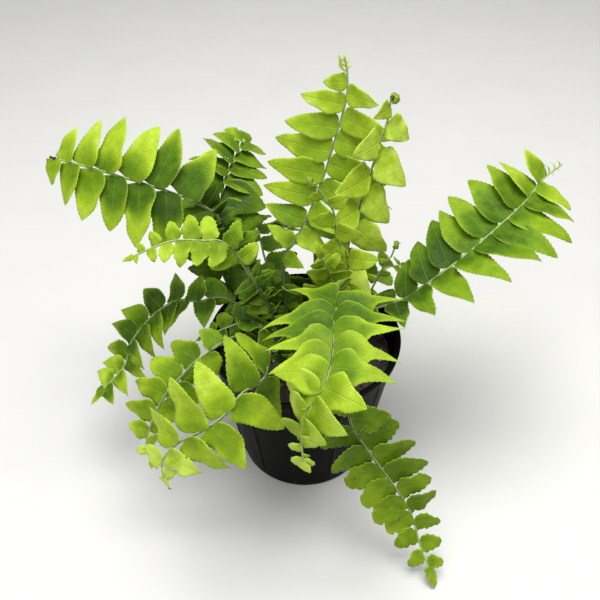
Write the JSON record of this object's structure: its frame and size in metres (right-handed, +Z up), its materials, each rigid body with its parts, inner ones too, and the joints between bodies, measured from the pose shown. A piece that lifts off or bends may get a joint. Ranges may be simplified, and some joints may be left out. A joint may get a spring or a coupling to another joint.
{
  "type": "potted fern",
  "caption": "Sword fern with arching, toothed pinnate fronds growing from potting mix in a tapered round nursery pot that stands on its base.",
  "frame": {"origin": "centre of the pot's underside, on the surface that the pot stands on", "axes": "+Z up out of the pot; -Y towards the front, where the longest arching frond hangs over the rim; +X to the right as seen from the front"},
  "size_m": [0.2797, 0.2253, 0.2202],
  "materials": {
    "pot_plastic": "satin",
    "potting_mix": "matte",
    "leaf_lime": "satin",
    "leaf_green": "satin",
    "leaf_deep": "satin"
  },
  "bodies": {
    "root": {"pot": "pot_plastic", "potting_mix": "potting_mix", "frond_front_arching": "leaf_lime", "frond_centre_tall": "leaf_green", "frond_right_tall": "leaf_green", "frond_right_long": "leaf_green", "frond_left_long": "leaf_green", "frond_front_left": "leaf_lime", "frond_front_right_trailing": "leaf_deep", "frond_young_left": "leaf_lime", "frond_left_front": "leaf_lime", "frond_left_low": "leaf_deep", "frond_back_left": "leaf_deep", "frond_young_centre": "leaf_lime", "frond_young_front_left": "leaf_green", "frond_young_crown": "leaf_lime", "frond_young_back_left": "leaf_deep", "frond_young_back_right": "leaf_green", "frond_young_right": "leaf_lime", "frond_back_low_left": "leaf_deep", "frond_back_right": "leaf_deep", "frond_back_middle": "leaf_green"}
  },
  "joints": []
}
